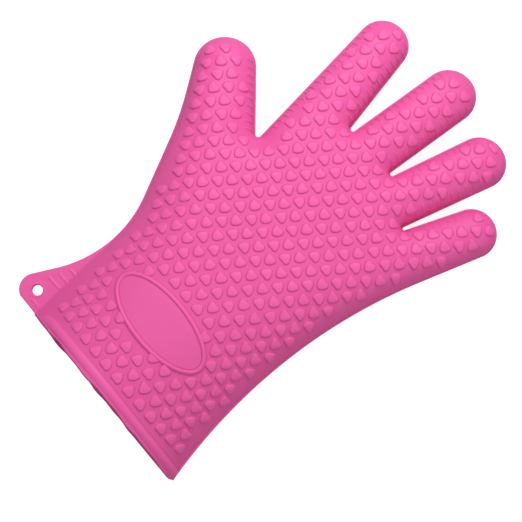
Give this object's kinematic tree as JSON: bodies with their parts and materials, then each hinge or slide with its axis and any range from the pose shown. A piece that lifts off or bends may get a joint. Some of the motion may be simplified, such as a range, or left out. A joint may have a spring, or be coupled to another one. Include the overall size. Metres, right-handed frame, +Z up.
{
  "type": "heat resistant glove",
  "caption": "Gauntlet-style moulded silicone oven and barbecue glove with bending fingers, thumb and wrist, a rolled rim bead, a hanging tab and a plain oval badge.",
  "frame": {"origin": "centre of the bounding box in plan, on the level surface the glove rests on", "axes": "+Z up through the badge and gripping side, +Y from the gauntlet's mouth to the fingertips, thumb on the -X side"},
  "size_m": [0.2052, 0.2946, 0.071],
  "materials": {
    "silicone": "satin moulded silicone",
    "silicone_badge": "smooth satin moulded silicone"
  },
  "bodies": {
    "palm": {"palm_shell": "silicone"},
    "gauntlet": {"gauntlet_shell": "silicone", "cuff_rim_bead": "silicone", "hang_tab": "silicone_badge", "badge_rim": "silicone", "badge_panel": "silicone_badge"},
    "thumb_base": {"thumb_proximal": "silicone"},
    "thumb_tip": {"thumb_distal": "silicone"},
    "index_proximal": {"index_finger_proximal": "silicone"},
    "index_middle": {"index_finger_middle": "silicone"},
    "index_distal": {"index_finger_distal": "silicone"},
    "middle_proximal": {"middle_finger_proximal": "silicone"},
    "middle_middle": {"middle_finger_middle": "silicone"},
    "middle_distal": {"middle_finger_distal": "silicone"},
    "ring_proximal": {"ring_finger_proximal": "silicone"},
    "ring_middle": {"ring_finger_middle": "silicone"},
    "ring_distal": {"ring_finger_distal": "silicone"},
    "little_proximal": {"little_finger_proximal": "silicone"},
    "little_middle": {"little_finger_middle": "silicone"},
    "little_distal": {"little_finger_distal": "silicone"}
  },
  "joints": [
    {"name": "wrist_bend", "type": "hinge", "parent": "palm", "child": "gauntlet", "pos_m": [0.01433, -0.05193, 0.02834], "axis": [-1, 0, 0], "range_deg": [0, 40]},
    {"name": "thumb_root_fold", "type": "hinge", "parent": "palm", "child": "thumb_base", "pos_m": [-0.06382, 0.01042, 0.02257], "axis": [0.5446, 0.8351, -0.0772], "range_deg": [0, 45]},
    {"name": "thumb_tip_bend", "type": "hinge", "parent": "thumb_base", "child": "thumb_tip", "pos_m": [-0.07862, 0.03306, 0.02048], "axis": [0.7431, 0.6663, -0.0616], "range_deg": [0, 45]},
    {"name": "index_knuckle_bend", "type": "hinge", "parent": "palm", "child": "index_proximal", "pos_m": [-0.02588, 0.07885, 0.01624], "axis": [0.9851, 0.1712, -0.0158], "range_deg": [0, 50]},
    {"name": "index_middle_bend", "type": "hinge", "parent": "index_proximal", "child": "index_middle", "pos_m": [-0.02923, 0.09798, 0.01447], "axis": [0.9851, 0.1712, -0.0158], "range_deg": [0, 55]},
    {"name": "index_tip_bend", "type": "hinge", "parent": "index_middle", "child": "index_distal", "pos_m": [-0.03224, 0.11514, 0.01289], "axis": [0.9851, 0.1712, -0.0158], "range_deg": [0, 35]},
    {"name": "middle_knuckle_bend", "type": "hinge", "parent": "palm", "child": "middle_proximal", "pos_m": [0.01323, 0.0843, 0.01574], "axis": [0.9977, -0.0677, 0.0063], "range_deg": [0, 50]},
    {"name": "middle_middle_bend", "type": "hinge", "parent": "middle_proximal", "child": "middle_middle", "pos_m": [0.01459, 0.10416, 0.0139], "axis": [0.9977, -0.0677, 0.0063], "range_deg": [0, 55]},
    {"name": "middle_tip_bend", "type": "hinge", "parent": "middle_middle", "child": "middle_distal", "pos_m": [0.01592, 0.12354, 0.01211], "axis": [0.9977, -0.0677, 0.0063], "range_deg": [0, 35]},
    {"name": "ring_knuckle_bend", "type": "hinge", "parent": "palm", "child": "ring_proximal", "pos_m": [0.04886, 0.07842, 0.01628], "axis": [0.9681, -0.2493, 0.0231], "range_deg": [0, 50]},
    {"name": "ring_middle_bend", "type": "hinge", "parent": "ring_proximal", "child": "ring_middle", "pos_m": [0.05337, 0.09577, 0.01468], "axis": [0.9681, -0.2493, 0.0231], "range_deg": [0, 55]},
    {"name": "ring_tip_bend", "type": "hinge", "parent": "ring_middle", "child": "ring_distal", "pos_m": [0.05762, 0.11216, 0.01316], "axis": [0.9681, -0.2493, 0.0231], "range_deg": [0, 35]},
    {"name": "little_knuckle_bend", "type": "hinge", "parent": "palm", "child": "little_proximal", "pos_m": [0.07927, 0.05888, 0.01809], "axis": [0.9516, -0.3061, 0.0283], "range_deg": [0, 45]},
    {"name": "little_middle_bend", "type": "hinge", "parent": "little_proximal", "child": "little_middle", "pos_m": [0.08372, 0.07261, 0.01682], "axis": [0.9516, -0.3061, 0.0283], "range_deg": [0, 50]},
    {"name": "little_tip_bend", "type": "hinge", "parent": "little_middle", "child": "little_distal", "pos_m": [0.08772, 0.08493, 0.01568], "axis": [0.9516, -0.3061, 0.0283], "range_deg": [0, 30]}
  ]
}
